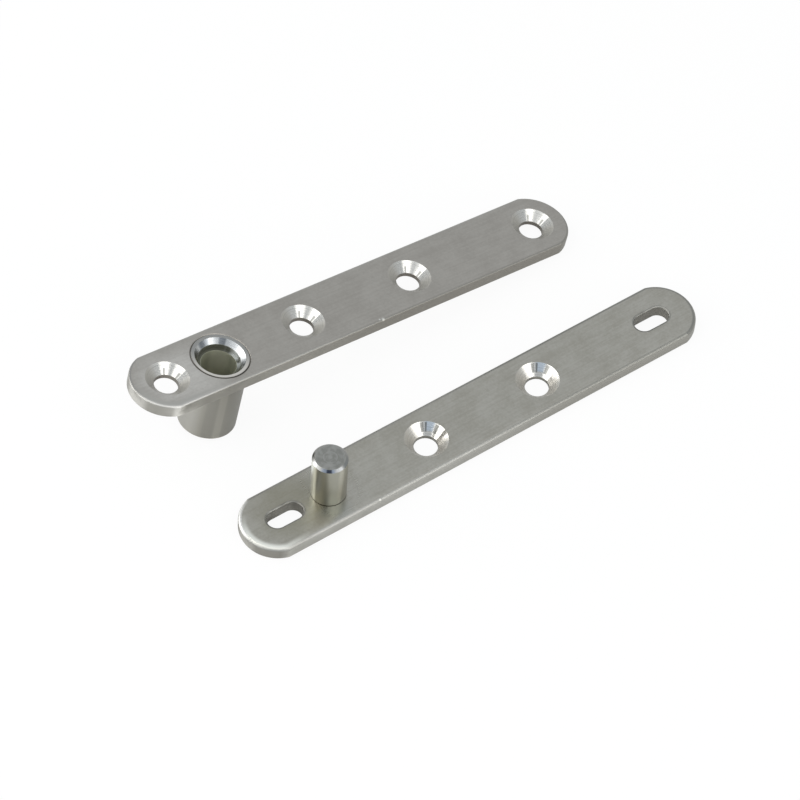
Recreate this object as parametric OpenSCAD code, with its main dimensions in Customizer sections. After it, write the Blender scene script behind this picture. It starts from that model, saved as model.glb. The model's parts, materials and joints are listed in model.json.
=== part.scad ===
// Pivot hinge for a door or flap: a socket leaf and a pin leaf, lying side by side as a loose set.
// The pin leaf lies flat, face up. The socket leaf lies face up too and leans on the foot of its
// bush and on its far end. The origin is on the pin's axis, at the back of the pin plate, +Z up.

/* [Plates] */
// Length of each plate over its rounded ends
plate_length = 146; // [120:1:200]
// Width of each plate
plate_width = 20; // [18:0.5:26]
// Thickness of each plate
plate_thickness = 4; // [3:0.25:6]
// Radius of the broken edges all round the socket plate
socket_edge_round = 0.6; // [0.2:0.1:0.9]
// Radius of the broken edges all round the pin plate
pin_edge_round = 1; // [0.2:0.1:1.2]
// How much the radius of an end is larger than half the width
end_flatness = 0.4; // [0.1:0.1:2]

/* [Screw holes] */
// Diameter of each screw hole
screw_hole_d = 6.6; // [4:0.1:7.2]
// Diameter of each countersink at the face
sink_d = 12; // [9:0.1:13]
// Distance between the two middle screw holes, the same on both plates
middle_spacing = 36.7; // [24:0.1:40]
// Depth of the countersinks in the socket plate
socket_sink_depth = 2.3; // [1:0.1:2.7]
// Depth of the countersinks in the pin plate
pin_sink_depth = 3.1; // [1:0.1:3.4]
// Chamfer of the screw holes at the back of the socket plate
hole_back_chamfer = 0.6; // [0.2:0.1:0.8]
// From each end of the socket plate to its end screw hole
end_hole_inset = 10.2; // [9:0.1:11]
// From the left end of the socket plate to its first middle screw hole
socket_middle_inset = 55.2; // [50:0.1:60]
// From the left end of the pin plate to its first middle screw hole
pin_middle_inset = 58.1; // [50:0.1:64]

/* [Slots] */
// From each end of the pin plate to the middle of its slot
slot_inset = 12.7; // [10:0.1:13]
// Length of each slot over its round ends
slot_length = 10.5; // [7:0.1:12]
// Width of each slot
slot_width = 5.5; // [4.5:0.1:7]
// Radius of the broken edge round each slot
slot_edge_round = 0.5; // [0.2:0.1:0.8]

/* [Bush] */
// From the left end of the socket plate to the axis of the bush
bush_inset = 27.5; // [26:0.1:34]
// Outside diameter of the bush
bush_d = 16; // [15:0.1:16.5]
// How far the bush stands out of the back of the plate
bush_drop = 20; // [14:0.5:30]
// Radius of the edge of the foot of the bush
bush_foot_round = 0.8; // [0.3:0.1:1.5]
// Diameter of the mouth inside the land of the bush
mouth_d = 11.4; // [10.6:0.1:12]
// Depth of the mouth, from the face of the plate to the ledge
mouth_depth = 3; // [2:0.1:5]
// How far the land is dished towards the mouth
land_dish = 0.1; // [0.05:0.05:0.2]
// Width of the cone that leads from the land into the mouth
mouth_cone_width = 1.2; // [0.3:0.1:1.6]
// Depth of the same cone
mouth_cone_depth = 1.5; // [0.3:0.1:1.7]
// Thickness of the closed foot of the bush
foot_thickness = 2.5; // [1.5:0.1:5]

/* [Pin] */
// From the left end of the pin plate to the axis of the pin
pin_inset = 26.5; // [25:0.1:34]
// Diameter of the pin
pin_d = 9.6; // [8:0.1:10]
// Height of the pin above the face of the plate
pin_height = 15; // [10:0.5:17]
// Chamfer at the top of the pin
pin_chamfer = 0.7; // [0.3:0.1:1.2]
// Diameter of the neck that goes through the plate
neck_d = 7; // [5:0.1:7.6]
// Diameter of the riveted end at the back of the plate
rivet_d = 9; // [8.2:0.1:10]
// Depth of the riveted end in the plate
rivet_depth = 1; // [0.5:0.1:1.5]

/* [Fits] */
// Clearance all round the pin in the bore of the bush
turning_clearance = 0.05; // [0.02:0.01:0.1]
// Gap all round the pieces that are fixed in the plates
fixing_gap = 0.02; // [0.01:0.01:0.05]
// Broken edge of a turned piece where it meets its plate, which shows as a fine seam
seam_edge = 0.2; // [0.1:0.05:0.3]

/* [Lying loose] */
// Along the pin plate, from the pin's axis to the foot of the bush
bush_foot_x = -12.3; // [-30:0.5:10]
// Across the pin plate, from the pin's axis to the foot of the bush
bush_foot_y = 39.5; // [38:0.5:60]
// Turn of the socket leaf on the surface it lies on, in degrees
socket_turn = 2.2; // [0:0.1:20]

/* [Hidden] */
$fn = 96;
// Cutters run past the faces that they open by this much
over = 1;
end_radius = plate_width / 2 + end_flatness;
bore_d = pin_d + 2 * turning_clearance;
bush_length = plate_thickness + bush_drop;
bush_r = bush_d / 2;
bore_r = bore_d / 2;
mouth_r = mouth_d / 2;
pin_r = pin_d / 2;
neck_r = neck_d / 2;
// The four screw holes of the socket plate, from its left end
socket_hole_places = [
    end_hole_inset,
    socket_middle_inset,
    socket_middle_inset + middle_spacing,
    plate_length - end_hole_inset
];
// Lean of the socket leaf: its far end and the foot of its bush both touch the surface.
// The rounded edges touch it at their lowest points, so their radii take part.
lean_run = plate_length - socket_edge_round - bush_inset - bush_r + bush_foot_round;
lean_drop = bush_drop - bush_foot_round + socket_edge_round;
lean_step = bush_foot_round - socket_edge_round;
lean = atan2(lean_drop, lean_run) + asin(lean_step / norm([lean_run, lean_drop]));
// Height of the middle of the bush's foot above the surface
foot_lift = bush_foot_round + (bush_r - bush_foot_round) * sin(lean)
    - bush_foot_round * cos(lean);

// Rectangle with rounded corners, centred on the X axis and standing on it
module rounded_section(width, height, radius) {
    inner_x = width / 2 - radius;
    translate([-width / 2, radius])
        square([width, height - 2 * radius]);
    translate([-inner_x, 0])
        square([2 * inner_x, height]);
    for (x = [-inner_x, inner_x])
        for (y = [radius, height - radius])
            translate([x, y])
                circle(r = radius);
}

// Right half of the same section, to be turned into a disc
module half_section(width, height, radius) {
    intersection() {
        rounded_section(width, height, radius);
        translate([0, -over])
            square([width, height + 2 * over]);
    }
}

// Bar stock of the plates: left end at x = 0, back at z = 0, all its edges rounded
module plate_blank(edge_round) {
    intersection() {
        rotate([90, 0, 90])
            linear_extrude(plate_length)
                rounded_section(plate_width, plate_thickness, edge_round);
        union() {
            for (x = [end_radius, plate_length - end_radius])
                translate([x, 0, 0])
                    rotate_extrude()
                        half_section(2 * end_radius, plate_thickness, edge_round);
            translate([end_radius, -plate_width, 0])
                cube([plate_length - 2 * end_radius, 2 * plate_width, plate_thickness]);
        }
    }
}

// Cutter for a countersunk screw hole, opening at the face of the plate
module countersunk_hole(x, depth) {
    slope = (sink_d - screw_hole_d) / depth;
    translate([x, 0, -over])
        cylinder(d = screw_hole_d, h = plate_thickness + 2 * over);
    translate([x, 0, plate_thickness - depth])
        cylinder(d1 = screw_hole_d, d2 = sink_d + slope * over, h = depth + over);
}

// Cutter for the broken edge of a screw hole at the back of the plate
module back_chamfer(x) {
    wide_d = screw_hole_d + 2 * (hole_back_chamfer + over);
    translate([x, 0, -over])
        cylinder(d1 = wide_d, d2 = screw_hole_d, h = hole_back_chamfer + over);
}

// Half of a slot's width in section: straight wall, flared over the broken edges at face and back
module slot_section(half_width) {
    flare = slot_edge_round;
    difference() {
        translate([0, -over])
            square([half_width + flare, plate_thickness + 2 * over]);
        translate([half_width + flare, flare])
            circle(r = flare);
        translate([half_width + flare, plate_thickness - flare])
            circle(r = flare);
        translate([half_width, flare])
            square([2 * flare, plate_thickness - 2 * flare]);
    }
}

// Cutter for a slotted hole, its length along the plate
module slot_cut(x) {
    run = slot_length - slot_width;
    for (side = [-run / 2, run / 2])
        translate([x + side, 0, 0])
            rotate_extrude()
                slot_section(slot_width / 2);
    for (side = [0, 1])
        mirror([0, side, 0])
            translate([x - run / 2, 0, 0])
                rotate([90, 0, 90])
                    linear_extrude(run)
                        slot_section(slot_width / 2);
}

// Lays what is drawn in the socket plate's own place down on the surface, leaning on the bush
module lay_socket_leaf() {
    translate([bush_foot_x, bush_foot_y, foot_lift])
        rotate([0, lean, socket_turn])
            translate([-bush_inset, 0, bush_drop])
                children();
}

// Hole in the socket plate that the bush is pressed into, with its edge broken at the face
module bush_hole() {
    hole_d = bush_d + 2 * fixing_gap;
    translate([bush_inset, 0, -over])
        cylinder(d = hole_d, h = plate_thickness + 2 * over);
    translate([bush_inset, 0, plate_thickness - seam_edge])
        cylinder(d1 = hole_d, d2 = hole_d + 2 * (seam_edge + over), h = seam_edge + over);
}

module socket_plate() {
    color("silver")
        lay_socket_leaf()
            difference() {
                plate_blank(socket_edge_round);
                for (x = socket_hole_places) {
                    countersunk_hole(x, socket_sink_depth);
                    back_chamfer(x);
                }
                bush_hole();
            }
}

// Half of the bush in section: foot at y = 0, rim flush with the plate's face
module bush_section() {
    difference() {
        union() {
            translate([0, bush_foot_round])
                square([bush_r, bush_length - bush_foot_round]);
            square([bush_r - bush_foot_round, bush_foot_round]);
            translate([bush_r - bush_foot_round, bush_foot_round])
                circle(r = bush_foot_round);
        }
        polygon([
            [0, foot_thickness],
            [bore_r, foot_thickness],
            [bore_r, bush_length - mouth_depth],
            [mouth_r, bush_length - mouth_depth],
            [mouth_r, bush_length - land_dish - mouth_cone_depth],
            [mouth_r + mouth_cone_width, bush_length - land_dish],
            [bush_r - seam_edge, bush_length],
            [bush_r, bush_length - seam_edge],
            [bush_r + over, bush_length - seam_edge],
            [bush_r + over, bush_length + over],
            [0, bush_length + over]
        ]);
    }
}

module socket_bush() {
    color("gainsboro")
        lay_socket_leaf()
            translate([bush_inset, 0, -bush_drop])
                rotate_extrude()
                    bush_section();
}

// Hole in the pin plate for the neck of the pin, countersunk at the back for its riveted end
module pin_hole() {
    gap = 2 * fixing_gap;
    slope = (rivet_d - neck_d) / rivet_depth;
    translate([pin_inset, 0, -over])
        cylinder(d = neck_d + gap, h = plate_thickness + 2 * over);
    translate([pin_inset, 0, -over])
        cylinder(d1 = rivet_d + slope * over + gap, d2 = neck_d + gap, h = rivet_depth + over);
}

module pin_plate() {
    color("silver")
        translate([-pin_inset, 0, 0])
            difference() {
                plate_blank(pin_edge_round);
                for (x = [pin_middle_inset, pin_middle_inset + middle_spacing])
                    countersunk_hole(x, pin_sink_depth);
                for (x = [slot_inset, plate_length - slot_inset])
                    slot_cut(x);
                pin_hole();
            }
}

module pivot_pin() {
    shoulder = plate_thickness;
    top = plate_thickness + pin_height;
    color("lightgray")
        rotate_extrude()
            polygon([
                [0, 0],
                [rivet_d / 2, 0],
                [neck_r, rivet_depth],
                [neck_r, shoulder],
                [pin_r - seam_edge, shoulder],
                [pin_r, shoulder + seam_edge],
                [pin_r, top - pin_chamfer],
                [pin_r - pin_chamfer, top],
                [0, top]
            ]);
}

socket_plate();
socket_bush();
pin_plate();
pivot_pin();
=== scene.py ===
# Looks, light and camera for the pivot hinge.
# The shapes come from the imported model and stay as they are: this script gives each piece its steel.
import json
import math
import bpy
from mathutils import Matrix, Quaternion, Vector


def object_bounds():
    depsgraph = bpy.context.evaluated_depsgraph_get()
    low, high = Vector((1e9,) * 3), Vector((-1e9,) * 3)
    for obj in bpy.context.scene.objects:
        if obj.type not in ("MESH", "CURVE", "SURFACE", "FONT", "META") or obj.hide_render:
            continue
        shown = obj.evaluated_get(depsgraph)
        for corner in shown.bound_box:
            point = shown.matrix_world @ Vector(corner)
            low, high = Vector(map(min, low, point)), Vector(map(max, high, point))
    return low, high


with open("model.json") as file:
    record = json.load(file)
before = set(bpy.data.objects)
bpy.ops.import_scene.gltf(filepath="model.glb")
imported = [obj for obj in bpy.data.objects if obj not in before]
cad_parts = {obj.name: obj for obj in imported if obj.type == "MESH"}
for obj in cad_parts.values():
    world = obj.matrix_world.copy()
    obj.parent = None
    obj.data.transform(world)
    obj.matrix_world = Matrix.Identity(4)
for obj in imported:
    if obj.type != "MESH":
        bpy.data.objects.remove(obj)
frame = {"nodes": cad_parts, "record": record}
cadLow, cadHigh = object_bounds()
pieces = frame["nodes"]
mounts = {mount["name"]: mount for mount in frame["record"]["mounts"]}
mm = 0.001  # the patterns below are laid out in millimetres

print("frame loaded:", ", ".join(sorted(pieces)))


# where each leaf lies, read from its mounts

def mountPlace(name):
    return Vector(mounts[name]["pos_m"])


def leafFrame(axisMount, facePoint, backPoint):
    # x along the leaf, z out of its face, the origin where the axis meets its back
    out = Vector(mounts[axisMount]["axis"]).normalized()
    start = mountPlace(axisMount)
    start = start - out * (start - mountPlace(backPoint)).dot(out)
    along = mountPlace(facePoint) - start
    along = (along - out * along.dot(out)).normalized()
    across = out.cross(along)
    turn = Matrix((along, across, out))
    return {"turn": turn, "start": start}


pinLeaf = leafFrame("pivot_pin", "pin_plate_screws", "pin_leaf_back")
socketLeaf = leafFrame("socket_bore", "socket_plate_middle_screws", "socket_leaf_back")


def alongLeaf(leaf, name):
    # distance of a mount from the leaf's own axis, in mm
    return (leaf["turn"] @ (mountPlace(name) - leaf["start"])).x / mm


def pairPlaces(leaf, name, gap):
    # the places of a pair of holes along the leaf, in mm
    middle = alongLeaf(leaf, name)
    half = mounts[name]["dims"][gap] / 2
    return [middle - half, middle + half]


def leafReach(leaf, piece):
    # the lowest and highest corner of a piece in its leaf's own frame, in mm
    corners = [leaf["turn"] @ (v.co - leaf["start"]) / mm for v in pieces[piece].data.vertices]
    low = Vector([min(c[i] for c in corners) for i in range(3)])
    high = Vector([max(c[i] for c in corners) for i in range(3)])
    return low, high


pinLow, pinHigh = leafReach(pinLeaf, "pin_plate")
socketLow, socketHigh = leafReach(socketLeaf, "socket_plate")
pinTop = leafReach(pinLeaf, "pivot_pin")[1].z
bushRadius = leafReach(socketLeaf, "socket_bush")[1].y
boreRadius = mounts["socket_bore"]["dims"]["r_mm"]
screwRadius = mounts["pin_plate_screws"]["dims"]["hole_r_mm"]
slotRadius = mounts["pin_plate_slots"]["dims"]["hole_r_mm"]
slotHalfRun = mounts["pin_plate_slots"]["dims"]["slot_length_mm"] / 2 - slotRadius


# small helpers for node trees: each adds its nodes and gives back the socket to go on with

def addNode(tree, kind, **settings):
    node = tree.nodes.new(kind)
    for key, value in settings.items():
        setattr(node, key, value)
    return node


def plug(tree, target, value):
    # a socket is linked, anything else is set
    if isinstance(value, bpy.types.NodeSocket):
        tree.links.new(value, target)
    else:
        target.default_value = value


def maths(tree, operation, *values):
    node = addNode(tree, "ShaderNodeMath", operation=operation)
    for target, value in zip(node.inputs, values):
        plug(tree, target, value)
    return node.outputs[0]


def product(tree, *values):
    result = values[0]
    for value in values[1:]:
        result = maths(tree, "MULTIPLY", result, value)
    return result


def largest(tree, *values):
    result = values[0]
    for value in values[1:]:
        result = maths(tree, "MAXIMUM", result, value)
    return result


def ramp(tree, value, low, high, toLow=0.0, toHigh=1.0):
    # 0 up to the low end, 1 from the high end, soft in between
    node = addNode(tree, "ShaderNodeMapRange", interpolation_type="SMOOTHSTEP")
    for target, given in zip(node.inputs, (value, low, high, toLow, toHigh)):
        plug(tree, target, given)
    return node.outputs[0]


def fadeOut(tree, value, low, high, strength=1.0):
    return ramp(tree, value, low, high, strength, 0.0)


def blendColour(tree, amount, first, second):
    node = addNode(tree, "ShaderNodeMix", data_type="RGBA")
    plug(tree, node.inputs["Factor"], amount)
    plug(tree, node.inputs[6], first)
    plug(tree, node.inputs[7], second)
    return node.outputs[2]


def blendValue(tree, amount, first, second):
    node = addNode(tree, "ShaderNodeMix", data_type="FLOAT")
    plug(tree, node.inputs["Factor"], amount)
    plug(tree, node.inputs[2], first)
    plug(tree, node.inputs[3], second)
    return node.outputs[0]


def splitPlace(tree, place):
    node = addNode(tree, "ShaderNodeSeparateXYZ")
    plug(tree, node.inputs[0], place)
    return node.outputs


def joinPlace(tree, x, y, z=0.0):
    node = addNode(tree, "ShaderNodeCombineXYZ")
    for target, value in zip(node.inputs, (x, y, z)):
        plug(tree, target, value)
    return node.outputs[0]


def lengthOf(tree, vector):
    node = addNode(tree, "ShaderNodeVectorMath", operation="LENGTH")
    plug(tree, node.inputs[0], vector)
    return node.outputs["Value"]


def noise(tree, vector, scale, detail, roughness=0.5, dimensions="3D"):
    node = addNode(tree, "ShaderNodeTexNoise", noise_dimensions=dimensions)
    plug(tree, node.inputs["Vector"], vector)
    plug(tree, node.inputs["Scale"], scale)
    plug(tree, node.inputs["Detail"], detail)
    plug(tree, node.inputs["Roughness"], roughness)
    return node.outputs[0]


def startGroup(name, inputs, outputs):
    group = bpy.data.node_groups.new(name, "ShaderNodeTree")
    for label, kind, value in inputs:
        socket = group.interface.new_socket(label, in_out="INPUT", socket_type=kind)
        if value is not None:
            socket.default_value = value
    for label in outputs:
        group.interface.new_socket(label, in_out="OUTPUT", socket_type="NodeSocketFloat")
    entry = group.nodes.new("NodeGroupInput")
    leave = group.nodes.new("NodeGroupOutput")
    return group, entry.outputs, leave.inputs


def placeGroup(tree, group, **values):
    # a value named scratchLength goes to the input "Scratch Length"
    node = addNode(tree, "ShaderNodeGroup", node_tree=group)
    for key, value in values.items():
        label = "".join(" " + c if c.isupper() else c for c in key).title()
        plug(tree, node.inputs[label], value)
    return node.outputs


vectorKind = "NodeSocketVector"
floatKind = "NodeSocketFloat"


# effects that several of the steels share

def makeBrushing():
    # straight scratches along x, coarse and fine, with broad soft clouds and an even grain
    group, given, out = startGroup(
        "brushing",
        [
            ("Place", vectorKind, None),
            ("Scratch Length", floatKind, 14.0),
            ("Scratch Width", floatKind, 0.12),
            ("Cloud Size", floatKind, 9.0),
        ],
        ["Scratches", "Fine", "Clouds", "Grain"],
    )
    x, y, z = splitPlace(group, given["Place"])

    def scratches(stretch, detail):
        length = maths(group, "MULTIPLY", given["Scratch Length"], stretch)
        width = maths(group, "MULTIPLY", given["Scratch Width"], stretch)
        drawnOut = joinPlace(
            group,
            maths(group, "DIVIDE", x, length),
            maths(group, "DIVIDE", y, width),
            maths(group, "DIVIDE", z, width),
        )
        return noise(group, drawnOut, 1.0, detail, roughness=0.62)

    cloudScale = maths(group, "DIVIDE", 1.0, given["Cloud Size"])
    plug(group, out["Scratches"], scratches(stretch=4.0, detail=4.0))
    plug(group, out["Fine"], scratches(stretch=1.0, detail=2.0))
    plug(group, out["Clouds"], noise(group, given["Place"], cloudScale, 3.0))
    plug(group, out["Grain"], noise(group, given["Place"], 1.6, 3.0))
    return group


def makeTurning():
    # lathe lines round the z axis, on faces, cones and barrels alike, and streaks that run outwards
    group, given, out = startGroup(
        "turning",
        [
            ("Place", vectorKind, None),
            ("Line Width", floatKind, 0.15),
            ("Streaks", floatKind, 3.0),
        ],
        ["Lines", "Chatter", "Radius", "Angle"],
    )
    x, y, z = splitPlace(group, given["Place"])
    flat = joinPlace(group, x, y)
    radius = lengthOf(group, flat)
    across = joinPlace(
        group,
        maths(group, "DIVIDE", radius, given["Line Width"]),
        maths(group, "DIVIDE", z, given["Line Width"]),
    )
    outward = addNode(group, "ShaderNodeVectorMath", operation="NORMALIZE")
    plug(group, outward.inputs[0], flat)
    plug(group, out["Lines"], noise(group, across, 1.0, 2.0, dimensions="2D"))
    plug(group, out["Chatter"], noise(group, outward.outputs[0], given["Streaks"], 2.0))
    plug(group, out["Radius"], radius)
    plug(group, out["Angle"], maths(group, "ARCTAN2", y, x))
    return group


def makeOutline():
    # distance from a round-ended outline that lies along x, less than nothing inside it
    group, given, out = startGroup(
        "outline",
        [
            ("Place", vectorKind, None),
            ("Middle", floatKind, 0.0),
            ("Half Run", floatKind, 0.0),
            ("Radius", floatKind, 5.0),
        ],
        ["Distance"],
    )
    x, y = splitPlace(group, given["Place"])[:2]
    away = maths(group, "ABSOLUTE", maths(group, "SUBTRACT", x, given["Middle"]))
    beyond = maths(group, "MAXIMUM", maths(group, "SUBTRACT", away, given["Half Run"]), 0.0)
    distance = lengthOf(group, joinPlace(group, beyond, y))
    plug(group, out["Distance"], maths(group, "SUBTRACT", distance, given["Radius"]))
    return group


brushing = makeBrushing()
turning = makeTurning()
outline = makeOutline()
print("shared effects built")


# what every steel starts and ends with

def startSteel(name, leaf):
    # a material, its shader, and the place of each point in its leaf's frame, in mm
    material = bpy.data.materials.new(name)
    material.use_nodes = True
    tree = material.node_tree
    shader = tree.nodes["Principled BSDF"]
    shader.inputs["Metallic"].default_value = 1.0
    coords = addNode(tree, "ShaderNodeTexCoord")
    place = addNode(tree, "ShaderNodeMapping", vector_type="POINT")
    place.inputs["Scale"].default_value = (1 / mm,) * 3
    place.inputs["Rotation"].default_value = leaf["turn"].to_euler()
    place.inputs["Location"].default_value = leaf["turn"] @ leaf["start"] / -mm
    plug(tree, place.inputs["Vector"], coords.outputs["Object"])
    return material, tree, shader, place.outputs[0]


def shifted(tree, place, along):
    # the same place measured from a point further along the leaf
    node = addNode(tree, "ShaderNodeVectorMath", operation="SUBTRACT")
    plug(tree, node.inputs[0], place)
    node.inputs[1].default_value = (along, 0, 0)
    return node.outputs[0]


fullShare = 0.15  # the middle share of a streak that has its full strength


def facing(tree, angle, towards, halfWidth):
    # 1 on the side of a turned piece that looks towards this angle, fading out to both sides;
    # angles are in degrees, anticlockwise from the far end of the leaf
    apart = maths(tree, "COSINE", maths(tree, "SUBTRACT", angle, math.radians(towards)))
    edge = math.cos(math.radians(halfWidth))
    return ramp(tree, apart, edge, 1 - (1 - edge) * fullShare)


def addBump(tree, shader, height, depth):
    bump = addNode(tree, "ShaderNodeBump")
    bump.inputs["Strength"].default_value = 1.0
    bump.inputs["Distance"].default_value = depth * mm
    plug(tree, bump.inputs["Height"], height)
    plug(tree, shader.inputs["Normal"], bump.outputs[0])


def dress(name, material):
    mesh = pieces[name].data
    mesh.materials.clear()
    mesh.materials.append(material)


# the side of the bush where its dark joint is painted darker as shade, and half its width, in degrees
seamShadeSide = (-128, 125)

# What both plates share. Distances are in mm: "past" is out from the outline of the face, so less than
# nothing on the face itself, "along" is from the pivot's end, and "across" is from the middle line,
# less than nothing on the near side. A pair of numbers is the stretch over which a mask changes.
barLook = {
    "endFlatness": 0.4,  # radius of an end over half the width
    "scratchLength": 5.0,
    "cloudSize": 6.0,
    "toneShares": (0.36, 0.34, 0.3),  # of the clouds, the scratches and the grain
    "toneRange": (0.34, 0.66),
    "patchStrength": 0.75,
    "polishReach": (6.0, 13.0),  # from the pivot
    "polishAlong": (-8.0, -3.0),  # from the pivot
    "footAlong": (-1.0, 4.0),  # from the pivot
    "footAcross": (-5.0, -3.0),
    "foot": (0.42, 0.435, 0.41, 1),  # painted reflection of the pin: a cool tone in front of its foot
    "rimPast": (-0.2, 0.3),  # from where the edge starts to round
    "litRimPast": (-1.2, 0.0),
    "bandPast": (-2.6, -1.3),
    "sidePast": (-0.16, -0.04),
    "endPast": (-0.1, 0.5),  # an end's outline past a long side's
    "endAlong": (40.0, 60.0),  # the end rim at the pivot's end has its own painted tone, a highlight on the pin plate and shade on the socket plate
    "arcAlong": (6.4, 8.0),  # where an end's side turns into the long side
    "nearSide": (-4.0, 4.0),  # across
    "rollReach": 2.8,  # width of the strip that wear has rolled down towards the near rim
    "sideClouds": (0.35, 0.65),
    "glintClouds": (0.2, 0.5),
    "glintFull": 0.1,
    "slotWall": (0.4, 0.75),
    "screwWall": (0.02, 0.14),
    "seamWidth": (0.16, 0.36),
    "wallClouds": (0.4, 0.6),
    "sinkRim": 6.0,  # radius of a countersink
    "sinkSoft": 0.08,
    "sinkHeight": (0.05, 0.2),  # above the back
    "sinkLines": 0.3,
    "ringRange": (0.56, 0.68),
    "ringStrength": 0.36,
    "streakStrength": 0.8,
    "streakSoft": (0.2, 0.3),
    "gapFoot": (4.2, 4.4),
    # the cutter's fine dark rings, and the painted dark streaks of reflection
    "ring": (0.14, 0.14, 0.13, 1),
    # small dents on the edges, painted as bright glints
    "nick": (0.7, 0.68, 0.62, 1),
    "nickFull": 0.1,
    "fineRoughness": 0.12,
    "polishRoughness": 0.2,
    "sinkRoughness": 0.12,
    "chatterRoughness": 0.2,  # over the sink's own
    "shadeRoughness": 0.42,
    "endRoughness": 0.5,
    "wallRoughness": 0.5,
    "shadeMetal": 0.4,
    "fineDepth": 0.5,  # against the coarse scratches
    "scratchPast": (-1.8, -0.9),
    "chatterDepth": 2.0,  # against the cutter's rings
}

pinPlateLook = {
    **barLook,
    "colour": (0.39, 0.365, 0.31, 1),
    "light": (0.485, 0.46, 0.405, 1),
    "patch": (0.303, 0.283, 0.215, 1),  # painted shade and painted reflection of the pin on the face towards the pivot's end
    "patchLight": (0.338, 0.315, 0.25, 1),
    "patchMiddle": -10.0,  # from the pivot
    "patchReach": (5.0, 16.0),
    "patchAcross": (-9.0, -3.0, 0.4, 1.0),  # the last two are its strength on each side
    "polish": 0.65,
    "edge": (0.37, 0.36, 0.33, 1),  # the rounded edges
    # painted rim tones: a highlight on the end rims at the pivot's end, shade towards the far end, and shade
    # on the near rim at the pivot's end
    "endEdge": (0.66, 0.65, 0.62, 1),
    "edgeFar": (0.27, 0.262, 0.234, 1),
    "litEdge": (0.26, 0.255, 0.235, 1),
    "litSide": (-3.0, 2.0),  # across
    "band": (0.87, 0.85, 0.77, 1),  # a painted highlight on the rolled face inside the near rim
    "bandSide": (0.0, 7.0),  # across
    "litRun": (4.0, 18.0),  # along, where the painted rim tone and the painted highlight band die out
    "fade": (52.0, 105.0),  # along, to the tones of the far end, painted darker as shade
    "farRim": 1.0,  # how much the rim away from the near side fades too
    "edgeRound": 1.0,  # width of the rounded edge
    "edgeWear": 0.09,  # how steeply the strip is rolled down
    "side": (0.24, 0.232, 0.208, 1),  # the sides of the round ends, painted darker than the long sides as shade
    "sideLight": (0.28, 0.27, 0.244, 1),
    "longSide": (0.4, 0.392, 0.36, 1),
    "longSideLight": (0.44, 0.432, 0.4, 1),
    "sideFar": (0.345, 0.335, 0.303, 1),
    "sideGlint": (0.5, 0.49, 0.455, 1),
    "glintPlaces": [(0.0, 0.9, 0.7), (7.2, 2.2, 1.0)],  # along, half width and strength
    "sink": (0.62, 0.6, 0.56, 1),  # the countersinks
    "sinkShade": (0.4, 0.375, 0.325, 1),
    "brightSide": (30, 106),  # the way it looks and half its width, in degrees
    # a painted cool reflection and painted dark streaks of reflection in the countersinks
    "sinkGap": (0.56, 0.61, 0.66, 1),
    "gapSide": (45, 17),
    "darkStreaks": [(68, 7), (56, 4), (23, 8)],
    "streakReach": (4.2, 5.7),  # from the middle of the hole
    "streaks": 2.4,  # how closely the chatter stands
    "wall": (0.19, 0.182, 0.16, 1),  # inside the holes and slots, painted darker as shade
    "wallLight": (0.3, 0.29, 0.26, 1),
    "roughness": 0.34,
    "edgeRoughness": 0.46,
    "scratchDepth": 0.006,
    "turningDepth": 0.004,
    "nicks": [((9.9, -9.6, 3.9), 0.4)],  # place and reach
}

socketPlateLook = {
    **barLook,
    "colour": (0.388, 0.357, 0.316, 1),
    "light": (0.46, 0.428, 0.382, 1),
    # painted light on the face towards the pivot's end
    "patch": (0.59, 0.556, 0.506, 1),
    "patchLight": (0.715, 0.68, 0.626, 1),
    "patchMiddle": -14.0,
    "patchReach": (4.0, 17.0),
    "patchAcross": (3.0, 9.0, 1.0, 0.4),
    "polish": 0.0,
    "edge": (0.41, 0.395, 0.36, 1),
    # painted rim tones: shade on the end rims at the pivot's end, shade towards the far end, and a highlight
    # on the near rim at the pivot's end
    "endEdge": (0.3, 0.29, 0.27, 1),
    "edgeFar": (0.29, 0.275, 0.245, 1),
    "litEdge": (0.6, 0.58, 0.54, 1),
    "litSide": (-6.0, 1.0),
    # a painted highlight band inside the near rim
    "band": (0.49, 0.465, 0.42, 1),
    "bandSide": (-4.0, 3.0),
    "litRun": (8.0, 30.0),
    "fade": (35.0, 85.0),
    "farRim": 0.0,
    "edgeRound": 0.6,
    "edgeWear": 0.02,
    "side": (0.29, 0.28, 0.255, 1),
    "sideLight": (0.34, 0.33, 0.3, 1),
    "longSide": (0.35, 0.338, 0.307, 1),
    "longSideLight": (0.39, 0.375, 0.34, 1),
    "sideFar": (0.275, 0.26, 0.232, 1),
    "sideGlint": (0.95, 0.93, 0.88, 1),
    "glintPlaces": [(0.0, 1.1, 0.36), (7.4, 2.2, 0.8), (9.0, 7.0, 0.3)],
    "sink": (0.55, 0.535, 0.5, 1),
    "sinkShade": (0.36, 0.34, 0.3, 1),
    "brightSide": (40, 84),
    # a painted cool reflection and painted dark streaks of reflection in the countersinks
    "sinkGap": (0.55, 0.535, 0.5, 1),
    "gapSide": (45, 24),
    "darkStreaks": [(64, 5), (8, 6)],
    "streakReach": (3.3, 4.6),
    "streaks": 4.0,
    "wall": (0.2, 0.185, 0.165, 1),
    "wallLight": (0.24, 0.225, 0.2, 1),
    "roughness": 0.38,
    "edgeRoughness": 0.5,
    "scratchDepth": 0.005,
    "turningDepth": 0.006,
    "nicks": [((47.7, -9.6, 3.85), 0.7), ((46.7, -9.3, 4.0), 0.4)],
}


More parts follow.
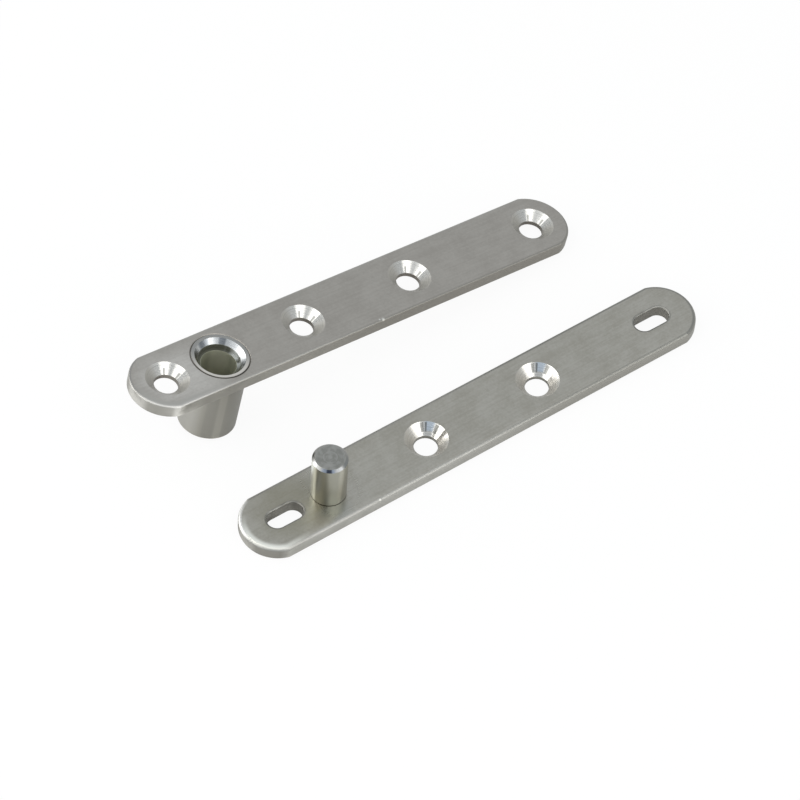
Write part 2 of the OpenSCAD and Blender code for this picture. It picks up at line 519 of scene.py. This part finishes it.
def plateShape(tree, place, look, low, high):
    # where each point is on its plate: across, past the outline, along from the pivot's end
    x, y, height = splitPlace(tree, place)
    endRadius = (high.y - low.y) / 2 + look["endFlatness"]
    ends = placeGroup(
        tree, outline, place=place, middle=(low.x + high.x) / 2,
        halfRun=(high.x - low.x) / 2 - endRadius, radius=endRadius,
    )["Distance"]
    sides = maths(tree, "SUBTRACT", maths(tree, "ABSOLUTE", y), high.y)
    past = maths(tree, "MAXIMUM", ends, sides)
    along = maths(tree, "SUBTRACT", x, low.x)
    rimStart, rimFull = look["rimPast"]
    atEnd = ramp(tree, maths(tree, "SUBTRACT", ends, sides), *look["endPast"])
    return {
        "x": x,
        "across": y,
        "height": height,
        "past": past,
        "along": along,
        "rim": ramp(tree, past, rimStart - look["edgeRound"], rimFull - look["edgeRound"]),
        "atEnd": product(tree, atEnd, fadeOut(tree, along, *look["endAlong"])),
        "nearSide": fadeOut(tree, y, *look["nearSide"]),
    }


def sinkMarks(tree, place, look, holes):
    # the countersinks: the cutter's rings and chatter, painted shade on one side, a painted cool reflection
    # and painted dark streaks of reflection
    marks = {name: [] for name in ("inside", "rings", "chatter", "shade", "gap", "streaks", "walls")}
    soft, streakSoft = look["sinkSoft"], look["streakSoft"]
    streakLow, streakHigh = look["streakReach"]
    for hole in holes:
        spot = placeGroup(
            tree, turning, place=shifted(tree, place, hole),
            lineWidth=look["sinkLines"], streaks=look["streaks"],
        )
        radius, angle = spot["Radius"], spot["Angle"]
        inside = fadeOut(tree, radius, look["sinkRim"] - soft, look["sinkRim"] + soft)
        bright = product(tree, facing(tree, angle, *look["brightSide"]), inside)
        gap = product(tree, facing(tree, angle, *look["gapSide"]), inside)
        gap = product(tree, gap, ramp(tree, radius, *look["gapFoot"]))
        reach = ramp(tree, radius, streakLow - streakSoft[0], streakLow)
        reach = product(tree, reach, fadeOut(tree, radius, streakHigh, streakHigh + streakSoft[1]))
        marks["inside"].append(inside)
        marks["rings"].append(product(tree, spot["Lines"], inside))
        marks["chatter"].append(product(tree, spot["Chatter"], inside))
        marks["shade"].append(maths(tree, "SUBTRACT", inside, bright))
        marks["gap"].append(gap)
        for streak in look["darkStreaks"]:
            marks["streaks"].append(product(tree, facing(tree, angle, *streak), reach))
        marks["walls"].append(fadeOut(tree, radius, *[screwRadius + w for w in look["screwWall"]]))
    return {name: largest(tree, *masks) for name, masks in marks.items()}


def wallMask(tree, place, look, screwWalls, slots, seams):
    # walls of holes and slots, left as the tool cut them and painted darker as shade in the hollows, and the
    # fine dark joint round a piece that is fixed in the plate, painted darker on one side as shade
    walls = [screwWalls]
    for slot in slots:
        slotRim = placeGroup(
            tree, outline, place=place, middle=slot, halfRun=slotHalfRun, radius=slotRadius,
        )["Distance"]
        walls.append(fadeOut(tree, slotRim, *look["slotWall"]))
    for seam, radius in seams:
        joint = placeGroup(tree, turning, place=shifted(tree, place, seam))
        grime = fadeOut(tree, joint["Radius"], *[radius + w for w in look["seamWidth"]])
        # the joint is painted darker on one side as shade
        seamInShade = facing(tree, joint["Angle"], *seamShadeSide)
        walls.append(product(tree, grime, ramp(tree, seamInShade, 0.0, 1.0, 0.5, 1.0)))
    return largest(tree, *walls)


def polishMask(tree, place, look, shape):
    # the face round the pivot, rubbed smooth
    aroundPivot = placeGroup(tree, outline, place=place, middle=0.0, radius=0.0)["Distance"]
    polish = fadeOut(tree, aroundPivot, *look["polishReach"], look["polish"])
    return product(tree, polish, ramp(tree, shape["x"], *look["polishAlong"]))


def faceColour(tree, place, look, shape, lines, polish):
    # brushed steel, with a painted patch towards the pivot's end (painted shade on the pin plate, painted
    # light on the socket plate) and a painted reflection of the pin, a cool tone, in front of its foot
    cloudShare, scratchShare, grainShare = look["toneShares"]
    tone = maths(tree, "MULTIPLY", lines["Clouds"], cloudShare)
    tone = maths(tree, "MULTIPLY_ADD", lines["Scratches"], scratchShare, tone)
    tone = maths(tree, "MULTIPLY_ADD", lines["Grain"], grainShare, tone)
    tone = ramp(tree, tone, *look["toneRange"])
    colour = blendColour(tree, tone, look["colour"], look["light"])
    # the painted patch beside the pivot: painted shade on the pin plate, painted light on the socket plate
    patch = placeGroup(tree, outline, place=place, middle=look["patchMiddle"], radius=0.0)["Distance"]
    patch = fadeOut(tree, patch, *look["patchReach"], look["patchStrength"])
    patch = product(tree, patch, ramp(tree, shape["across"], *look["patchAcross"]))
    paintedPatchColour = blendColour(tree, tone, look["patch"], look["patchLight"])
    colour = blendColour(tree, patch, colour, paintedPatchColour)
    # the painted reflection of the pin, a cool tone in front of its foot
    inFront = product(tree, polish, fadeOut(tree, shape["x"], *look["footAlong"]))
    inFront = product(tree, inFront, fadeOut(tree, shape["across"], *look["footAcross"]))
    return blendColour(tree, inFront, colour, look["foot"])


def rimColour(tree, look, shape, face):
    # the rounded edges with painted light and shade: a painted highlight band inside the near rim at the
    # pivot's end, a painted tone on the near rim there, a painted tone on the end rims, and darker painted
    # tones towards the far end
    past, across = shape["past"], shape["across"]
    litRun = fadeOut(tree, shape["along"], *look["litRun"])
    paintedRim = product(tree, litRun, fadeOut(tree, across, *look["litSide"]))
    band = product(tree, litRun, fadeOut(tree, across, *look["bandSide"]))
    band = product(tree, band, ramp(tree, past, *look["bandPast"]))
    faded = ramp(tree, shape["along"], *look["fade"])
    farEdge = product(tree, faded, maths(tree, "MAXIMUM", shape["nearSide"], look["farRim"]))
    edge = blendColour(tree, shape["atEnd"], look["edge"], look["endEdge"])
    edge = blendColour(tree, paintedRim, edge, look["litEdge"])
    edge = blendColour(tree, farEdge, edge, look["edgeFar"])
    onEdge = blendValue(tree, paintedRim, shape["rim"], ramp(tree, past, *look["litRimPast"]))
    return blendColour(tree, onEdge, blendColour(tree, band, face, look["band"]), edge)


def sideColour(tree, look, shape, lines):
    # the sides of the bar: round ends and long sides each in their own painted tone of light and shade, long
    # sides painted darker towards the far end, and painted glints at the tip and where they meet
    clouded = ramp(tree, lines["Clouds"], *look["sideClouds"])
    endSide = blendColour(tree, clouded, look["side"], look["sideLight"])
    longSide = blendColour(tree, clouded, look["longSide"], look["longSideLight"])
    far = product(tree, ramp(tree, shape["along"], *look["fade"]), shape["nearSide"])
    longSide = blendColour(tree, far, longSide, look["sideFar"])
    colour = blendColour(tree, ramp(tree, shape["along"], *look["arcAlong"]), endSide, longSide)
    glinting = ramp(tree, lines["Clouds"], *look["glintClouds"])
    for along, halfWidth, strength in look["glintPlaces"]:
        away = maths(tree, "ABSOLUTE", maths(tree, "SUBTRACT", shape["along"], along))
        glint = product(tree, fadeOut(tree, away, look["glintFull"], halfWidth, strength), glinting)
        colour = blendColour(tree, glint, colour, look["sideGlint"])
    return colour


def sinkColour(tree, look, sinks):
    # the cones of the countersinks, with painted shade on one side, a painted cool reflection, fine dark
    # rings and painted dark streaks of reflection
    colour = blendColour(tree, sinks["gap"], look["sink"], look["sinkGap"])
    colour = blendColour(tree, sinks["shade"], colour, look["sinkShade"])
    rings = ramp(tree, sinks["rings"], *look["ringRange"], 0.0, look["ringStrength"])
    streaks = product(tree, sinks["streaks"], look["streakStrength"])
    return blendColour(tree, largest(tree, rings, streaks), colour, look["ring"])


def addNicks(tree, place, look, colour):
    # small dents on the broken edges, painted as bright glints
    for spot, reach in look["nicks"]:
        away = addNode(tree, "ShaderNodeVectorMath", operation="DISTANCE")
        plug(tree, away.inputs[0], place)
        away.inputs[1].default_value = spot
        nick = fadeOut(tree, away.outputs["Value"], look["nickFull"], reach)
        colour = blendColour(tree, nick, colour, look["nick"])
    return colour


def plateRoughness(tree, look, shape, lines, sinks, sunk, wall, polish):
    fine, chatter = look["fineRoughness"], look["chatterRoughness"]
    rough = maths(tree, "MULTIPLY_ADD", lines["Fine"], fine, look["roughness"] - fine / 2)
    rough = blendValue(tree, polish, rough, look["polishRoughness"])
    rimRough = blendValue(tree, shape["atEnd"], look["edgeRoughness"], look["endRoughness"])
    rough = blendValue(tree, shape["rim"], rough, rimRough)
    sinkRough = maths(tree, "MULTIPLY_ADD", sinks["chatter"], chatter, look["sinkRoughness"])
    sinkRough = blendValue(tree, sinks["shade"], sinkRough, look["shadeRoughness"])
    rough = blendValue(tree, sunk, rough, sinkRough)
    return blendValue(tree, wall, rough, look["wallRoughness"])


def plateHeight(tree, look, shape, lines, sinks, sunk, wall):
    # height of the fine marks, in mm, on a face rolled down towards the near rim
    rolled = maths(tree, "MAXIMUM", maths(tree, "ADD", shape["past"], look["rollReach"]), 0.0)
    rolled = product(tree, maths(tree, "POWER", rolled, 2.0), -look["edgeWear"] / 2, shape["nearSide"])
    brushed = maths(tree, "MULTIPLY_ADD", lines["Fine"], look["fineDepth"], lines["Scratches"])
    brushed = product(tree, brushed, fadeOut(tree, shape["past"], *look["scratchPast"]))
    brushed = maths(tree, "MULTIPLY_ADD", brushed, look["scratchDepth"], rolled)
    brushed = product(tree, brushed, maths(tree, "SUBTRACT", 1.0, wall))
    machined = maths(tree, "MULTIPLY_ADD", sinks["chatter"], look["chatterDepth"], sinks["rings"])
    machined = product(tree, machined, look["turningDepth"])
    return blendValue(tree, sunk, brushed, machined)


def plateSteel(name, leaf, look, reach, holes, slots=(), seams=()):
    material, tree, shader, place = startSteel(name + "Steel", leaf)
    lines = placeGroup(
        tree, brushing, place=place,
        scratchLength=look["scratchLength"], cloudSize=look["cloudSize"],
    )
    shape = plateShape(tree, place, look, *reach)
    sinks = sinkMarks(tree, place, look, holes)
    sunk = product(tree, sinks["inside"], ramp(tree, shape["height"], *look["sinkHeight"]))
    wall = wallMask(tree, place, look, sinks["walls"], slots, seams)
    polish = polishMask(tree, place, look, shape)

    colour = faceColour(tree, place, look, shape, lines, polish)
    colour = rimColour(tree, look, shape, colour)
    onSide = ramp(tree, shape["past"], *look["sidePast"])
    colour = blendColour(tree, onSide, colour, sideColour(tree, look, shape, lines))
    colour = blendColour(tree, sunk, colour, sinkColour(tree, look, sinks))
    colour = addNicks(tree, place, look, colour)
    # the walls, painted darker as shade in the hollows, and the dark joint
    wallShadeAndJoint = ramp(tree, lines["Clouds"], *look["wallClouds"])
    wallShadeAndJoint = blendColour(tree, wallShadeAndJoint, look["wall"], look["wallLight"])
    plug(tree, shader.inputs["Base Color"], blendColour(tree, wall, colour, wallShadeAndJoint))

    rough = plateRoughness(tree, look, shape, lines, sinks, sunk, wall, polish)
    plug(tree, shader.inputs["Roughness"], rough)
    # less metal where the countersinks carry their painted shade
    paintedSinkShade = product(tree, sinks["shade"], sunk)
    plug(tree, shader.inputs["Metallic"], blendValue(tree, paintedSinkShade, 1.0, look["shadeMetal"]))
    height = plateHeight(tree, look, shape, lines, sinks, sunk, wall)
    addBump(tree, shader, height, depth=1.0)
    dress(name, material)


plateSteel(
    "pin_plate", pinLeaf, pinPlateLook, (pinLow, pinHigh),
    holes=pairPlaces(pinLeaf, "pin_plate_screws", "spacing_x_mm"),
    slots=pairPlaces(pinLeaf, "pin_plate_slots", "spacing_x_mm"),
)
plateSteel(
    "socket_plate", socketLeaf, socketPlateLook, (socketLow, socketHigh),
    holes=pairPlaces(socketLeaf, "socket_plate_middle_screws", "pcd_mm")
    + pairPlaces(socketLeaf, "socket_plate_end_screws", "pcd_mm"),
    seams=[(0.0, bushRadius)],
)
print("plates dressed")


pinLook = {
    "top": (0.27, 0.265, 0.24, 1),
    "topLight": (0.36, 0.352, 0.325, 1),
    "topSoft": (0.06, 0.02),  # below the top
    "topShares": (0.4, 0.6),  # of the lathe lines and the haze
    "topRange": (0.38, 0.62),
    "centreMark": (0.35, 0.8, 0.9),  # where it starts to fade, where it ends, and its strength
    "lineWidth": 0.5,
    "hazeSize": 1.4,
    "side": (0.335, 0.33, 0.28, 1),
    "sideStreaks": [  # painted reflections on the side: the side that each looks to, half its width, and its tone
        (166, 26, (0.95, 0.96, 0.88, 1)),
        (-66, 34, (0.485, 0.47, 0.4, 1)),
        (-150, 26, (0.27, 0.265, 0.22, 1)),
    ],
    "foot": (0.1, 0.095, 0.08, 1),  # the dark line round the pin on the plate
    "footHeight": (0.1, 0.3),  # above the plate
    "chamfer": (0.25, 0.248, 0.235, 1),
    # painted reflections on the chamfer
    "chamferCool": (0.26, 0.29, 0.34, 1),
    "chamferDark": (0.05, 0.058, 0.078, 1),
    "chamferGlint": (0.36, 0.36, 0.355, 1),
    "coolSide": (-128, 32),
    "darkSide": (-128, 12),
    "glints": [(172, 15), (-94, 20)],
    "chamferSize": 0.7,
    "chamferSoft": 0.04,
    "topRoughness": 0.42,
    "sideRoughness": 0.32,
    "hazeRoughness": 0.14,
    "chamferRoughness": 0.28,
    "turningDepth": 0.004,
}


def pinSteel():
    look = pinLook
    material, tree, shader, place = startSteel("pivotPinSteel", pinLeaf)
    height = splitPlace(tree, place)[2]
    marks = placeGroup(tree, turning, place=place, lineWidth=look["lineWidth"])
    haze = placeGroup(tree, brushing, place=place, cloudSize=look["hazeSize"])["Clouds"]
    angle = marks["Angle"]
    onTop = ramp(tree, height, *[pinTop - soft for soft in look["topSoft"]])
    chamferFoot = pinTop - look["chamferSize"]
    chamferSoft = look["chamferSoft"]
    onChamfer = ramp(tree, height, chamferFoot - chamferSoft, chamferFoot + chamferSoft)
    atFoot = fadeOut(tree, height, *[pinHigh.z + above for above in look["footHeight"]])

    # the top: hazy, with faint rings and the small mark where the lathe's cut ended
    lineShare, hazeShare = look["topShares"]
    ringed = maths(tree, "MULTIPLY_ADD", marks["Lines"], lineShare, product(tree, haze, hazeShare))
    ringed = ramp(tree, ringed, *look["topRange"])
    centre = fadeOut(tree, marks["Radius"], *look["centreMark"])
    top = blendColour(tree, largest(tree, ringed, centre), look["top"], look["topLight"])

    # the side: painted bright and dark reflections running along the bar
    side = look["side"]
    for towards, halfWidth, tone in look["sideStreaks"]:
        side = blendColour(tree, facing(tree, angle, towards, halfWidth), side, tone)
    side = blendColour(tree, atFoot, side, look["foot"])

    # the chamfer: painted reflections, cool and dark in front, with a painted glint on each side
    chamfer = blendColour(tree, facing(tree, angle, *look["coolSide"]), look["chamfer"], look["chamferCool"])
    chamfer = blendColour(tree, facing(tree, angle, *look["darkSide"]), chamfer, look["chamferDark"])
    for glint in look["glints"]:
        chamfer = blendColour(tree, facing(tree, angle, *glint), chamfer, look["chamferGlint"])
    colour = blendColour(tree, onChamfer, side, chamfer)
    plug(tree, shader.inputs["Base Color"], blendColour(tree, onTop, colour, top))

    hazeRough = look["hazeRoughness"]
    rough = maths(tree, "MULTIPLY_ADD", haze, hazeRough, look["sideRoughness"] - hazeRough / 2)
    rough = blendValue(tree, onChamfer, rough, look["chamferRoughness"])
    plug(tree, shader.inputs["Roughness"], blendValue(tree, onTop, rough, look["topRoughness"]))
    addBump(tree, shader, marks["Lines"], look["turningDepth"])
    dress("pivot_pin", material)


bushLook = {
    "barrel": (0.33, 0.32, 0.285, 1),
    "barrelLight": (0.42, 0.41, 0.378, 1),
    "barrelDark": (0.27, 0.262, 0.235, 1),
    "barrelRange": (0.35, 0.65),
    # painted reflections on the barrel: the side each looks to and half its width
    "lightStreak": (172, 46),
    "darkStreak": (-75, 40),
    "dullLine": (-128, 14),
    "brightLine": (-108, 8),
    "land": (0.37, 0.36, 0.335, 1),  # the flat ring round the mouth
    # a painted highlight on the near side of the flat ring
    "lip": (0.74, 0.69, 0.62, 1),
    "lipSide": (-118, 112),
    "cone": (0.52, 0.525, 0.52, 1),
    "coneShade": (0.3, 0.29, 0.265, 1),
    "coneShadeSide": (-150, 118),
    # painted dark streaks of reflection on the cone
    "coneDark": (0.2, 0.21, 0.22, 1),
    "coneDarks": [(48, 11), (98, 20)],
    "coneRim": 6.9,  # radius of the cone at the face
    "coneSoft": 0.05,
    # the mouth's wall, dark as painted shade, with painted light on one side
    "mouth": (0.13, 0.13, 0.1, 1),
    "mouthLight": (0.56, 0.57, 0.54, 1),
    "mouthSide": (8, 64),
    "mouthRange": (0.4, 0.56),
    "mouthRadius": 5.7,
    "mouthSoft": (0.02, 0.12),
    "bore": (0.44, 0.44, 0.33, 1),
    # painted light on one side of the bore
    "boreLight": (0.58, 0.57, 0.44, 1),
    "boreStreak": (48, 40),
    "boreSoft": (0.03, 0.1),
    "boreMetal": 0.5,
    "seam": (0.06, 0.054, 0.045, 1),
    "seamWidth": (0.34, 0.14),  # in from the barrel
    "seamDepth": (1.0, 0.6),  # below the plate's face
    "outsideSoft": (0.1, 0.04),  # in from the barrel
    "lineWidth": 0.3,
    "streaks": 1.8,
    "lineRoughness": 0.08,
    "barrelRoughness": 0.36,
    "landRoughness": 0.3,
    "coneRoughness": 0.22,
    "boreRoughness": 0.45,
    "turningDepth": 0.005,
}


def bushSteel():
    look = bushLook
    material, tree, shader, place = startSteel("socketBushSteel", socketLeaf)
    height = splitPlace(tree, place)[2]
    marks = placeGroup(tree, turning, place=place, lineWidth=look["lineWidth"], streaks=look["streaks"])
    radius, angle, chatter = marks["Radius"], marks["Angle"], marks["Chatter"]

    def toned(side, colour, tone):
        # painted light and shade on one side of the bush
        return blendColour(tree, facing(tree, angle, *look[side]), colour, look[tone])

    outside = ramp(tree, radius, *[bushRadius - soft for soft in look["outsideSoft"]])
    coneRim, coneSoft = look["coneRim"], look["coneSoft"]
    inCone = fadeOut(tree, radius, coneRim - coneSoft, coneRim + coneSoft)
    inMouth = fadeOut(tree, radius, *[look["mouthRadius"] + soft for soft in look["mouthSoft"]])
    inBore = fadeOut(tree, radius, *[boreRadius + soft for soft in look["boreSoft"]])
    seam = ramp(tree, radius, *[bushRadius - width for width in look["seamWidth"]])
    seam = product(tree, seam, ramp(tree, height, *[socketHigh.z - depth for depth in look["seamDepth"]]))
    # the dark joint is drawn only on one side, a painted shade
    seam = product(tree, seam, facing(tree, angle, *seamShadeSide))

    barrel = ramp(tree, chatter, *look["barrelRange"])
    barrel = blendColour(tree, barrel, look["barrel"], look["barrelDark"])
    # painted reflections on the barrel
    barrel = toned("lightStreak", barrel, "barrelLight")
    barrel = toned("darkStreak", barrel, "barrelDark")
    barrel = toned("dullLine", barrel, "barrelDark")
    barrel = toned("brightLine", barrel, "barrel")
    cone = toned("coneShadeSide", look["cone"], "coneShade")
    # painted dark streaks of reflection
    for streak in look["coneDarks"]:
        cone = blendColour(tree, facing(tree, angle, *streak), cone, look["coneDark"])
    # painted light on one side of the dark mouth
    mouth = product(tree, facing(tree, angle, *look["mouthSide"]), ramp(tree, chatter, *look["mouthRange"]))
    mouth = blendColour(tree, mouth, look["mouth"], look["mouthLight"])
    colour = toned("lipSide", look["land"], "lip")
    colour = blendColour(tree, inCone, colour, cone)
    colour = blendColour(tree, inMouth, colour, mouth)
    colour = blendColour(tree, inBore, colour, toned("boreStreak", look["bore"], "boreLight"))
    colour = blendColour(tree, outside, colour, barrel)
    plug(tree, shader.inputs["Base Color"], blendColour(tree, seam, colour, look["seam"]))

    plug(tree, shader.inputs["Metallic"], blendValue(tree, inMouth, 1.0, look["boreMetal"]))
    rough = blendValue(tree, inCone, look["landRoughness"], look["coneRoughness"])
    rough = blendValue(tree, inMouth, rough, look["boreRoughness"])
    rough = blendValue(tree, outside, rough, look["barrelRoughness"])
    rough = maths(tree, "MULTIPLY_ADD", marks["Lines"], look["lineRoughness"], rough)
    plug(tree, shader.inputs["Roughness"], rough)
    addBump(tree, shader, marks["Lines"], look["turningDepth"])
    dress("socket_bush", material)


pinSteel()
bushSteel()
print("turned pieces dressed")


# surroundings

hingeMiddle = (cadLow + cadHigh) / 2


def outwards(azimuth, elevation):
    # a way out from the hinge, in degrees; azimuth 0 is on the -Y side
    a, e = math.radians(azimuth), math.radians(elevation)
    return Vector((math.sin(a) * math.cos(e), -math.cos(a) * math.cos(e), math.sin(e)))


def aimAt(thing, way):
    # turn a lamp or the camera back along the way that it was placed, and give that turn
    thing.rotation_mode = "QUATERNION"
    thing.rotation_quaternion = (-way).to_track_quat("-Z", "Y")
    return thing.rotation_quaternion


floorLook = {
    "colour": (0.83, 0.815, 0.79, 1),
    "whiteInView": 0.92,
    "whiteInMetal": 0.2,
    "reach": 6.0,  # in metres
    "below": 0.02,  # gap under the hinge, in mm
}


def whiteFloor():
    look = floorLook
    bpy.ops.object.select_all(action="DESELECT")
    lowest = cadLow.z - look["below"] * mm
    bpy.ops.mesh.primitive_plane_add(size=look["reach"], location=(hingeMiddle.x, hingeMiddle.y, lowest))
    floor = bpy.context.object
    floor.name = "paleFloor"
    material = bpy.data.materials.new("paleFloorPaint")
    material.use_nodes = True
    tree = material.node_tree
    tree.nodes.clear()
    out = addNode(tree, "ShaderNodeOutputMaterial")
    matt = addNode(tree, "ShaderNodeBsdfDiffuse")
    matt.inputs["Color"].default_value = look["colour"]
    glow = addNode(tree, "ShaderNodeEmission")
    path = addNode(tree, "ShaderNodeLightPath")
    seen = largest(tree, path.outputs["Is Camera Ray"], path.outputs["Is Transmission Ray"])
    seen = product(tree, seen, look["whiteInView"])
    seen = maths(tree, "MULTIPLY_ADD", path.outputs["Is Glossy Ray"], look["whiteInMetal"], seen)
    mix = addNode(tree, "ShaderNodeMixShader")
    plug(tree, mix.inputs[0], seen)
    plug(tree, mix.inputs[1], matt.outputs[0])
    plug(tree, mix.inputs[2], glow.outputs[0])
    plug(tree, out.inputs[0], mix.outputs[0])
    floor.data.materials.append(material)


skyLook = {"colour": (0.88, 0.94, 1.0, 1), "strength": 0.75}


def softSky():
    world = bpy.data.worlds.new("studioAir")
    world.use_nodes = True
    bpy.context.scene.world = world
    tree = world.node_tree
    air = tree.nodes["Background"]
    air.inputs["Color"].default_value = skyLook["colour"]
    air.inputs["Strength"].default_value = skyLook["strength"]
    white = addNode(tree, "ShaderNodeBackground")
    white.inputs["Color"].default_value = (1, 1, 1, 1)
    path = addNode(tree, "ShaderNodeLightPath")
    mix = addNode(tree, "ShaderNodeMixShader")
    plug(tree, mix.inputs[0], path.outputs["Is Camera Ray"])
    plug(tree, mix.inputs[1], air.outputs[0])
    plug(tree, mix.inputs[2], white.outputs[0])
    plug(tree, tree.nodes["World Output"].inputs[0], mix.outputs[0])


# degrees and metres
lampLook = {
    "leftWindow": dict(azimuth=-110, elevation=20, distance=0.9, width=1.3, height=0.34, watts=4.2),
    "rightWindow": dict(azimuth=14, elevation=18, distance=0.9, width=0.85, height=0.34, watts=2.2),
    "backLeft": dict(azimuth=-146, elevation=11, distance=0.9, width=0.6, height=0.3, watts=1.4),
    "rightTop": dict(azimuth=0, elevation=54, distance=1.3, width=1.0, height=0.4, watts=2.8),
    "leftTop": dict(azimuth=-108, elevation=56, distance=1.3, width=1.0, height=0.4, watts=2.8),
    "overhead": dict(azimuth=-40, elevation=84, distance=1.0, width=0.6, height=0.6, watts=0.6),
}


def hangLamps():
    for name, look in lampLook.items():
        data = bpy.data.lights.new(name, "AREA")
        data.shape = "RECTANGLE"
        data.size = look["width"]
        data.size_y = look["height"]
        data.energy = look["watts"]
        lamp = bpy.data.objects.new(name, data)
        bpy.context.scene.collection.objects.link(lamp)
        way = outwards(look["azimuth"], look["elevation"])
        lamp.location = hingeMiddle + way * look["distance"]
        aimAt(lamp, way)


cameraLook = {
    "azimuth": -38.567,
    "elevation": 52.303,
    "roll": 4.36,
    "distance": 1.1449,
    "aim": (-9.3, -8.2, -9.5),  # from the middle of the hinge, in mm
    "lens": 192.93,
}


def placeCamera():
    look = cameraLook
    data = bpy.data.cameras.new("viewCamera")
    data.lens = look["lens"]
    data.sensor_width = 36
    data.clip_start = 0.05
    data.clip_end = 10
    camera = bpy.data.objects.new("viewCamera", data)
    bpy.context.scene.collection.objects.link(camera)
    way = outwards(look["azimuth"], look["elevation"])
    camera.location = hingeMiddle + Vector(look["aim"]) * mm + way * look["distance"]
    level = aimAt(camera, way)
    camera.rotation_quaternion = Quaternion(way, math.radians(look["roll"])) @ level
    bpy.context.scene.camera = camera


whiteFloor()
softSky()
hangLamps()
placeCamera()
bpy.context.scene.view_settings.view_transform = "Standard"
print("floor, light and camera placed")
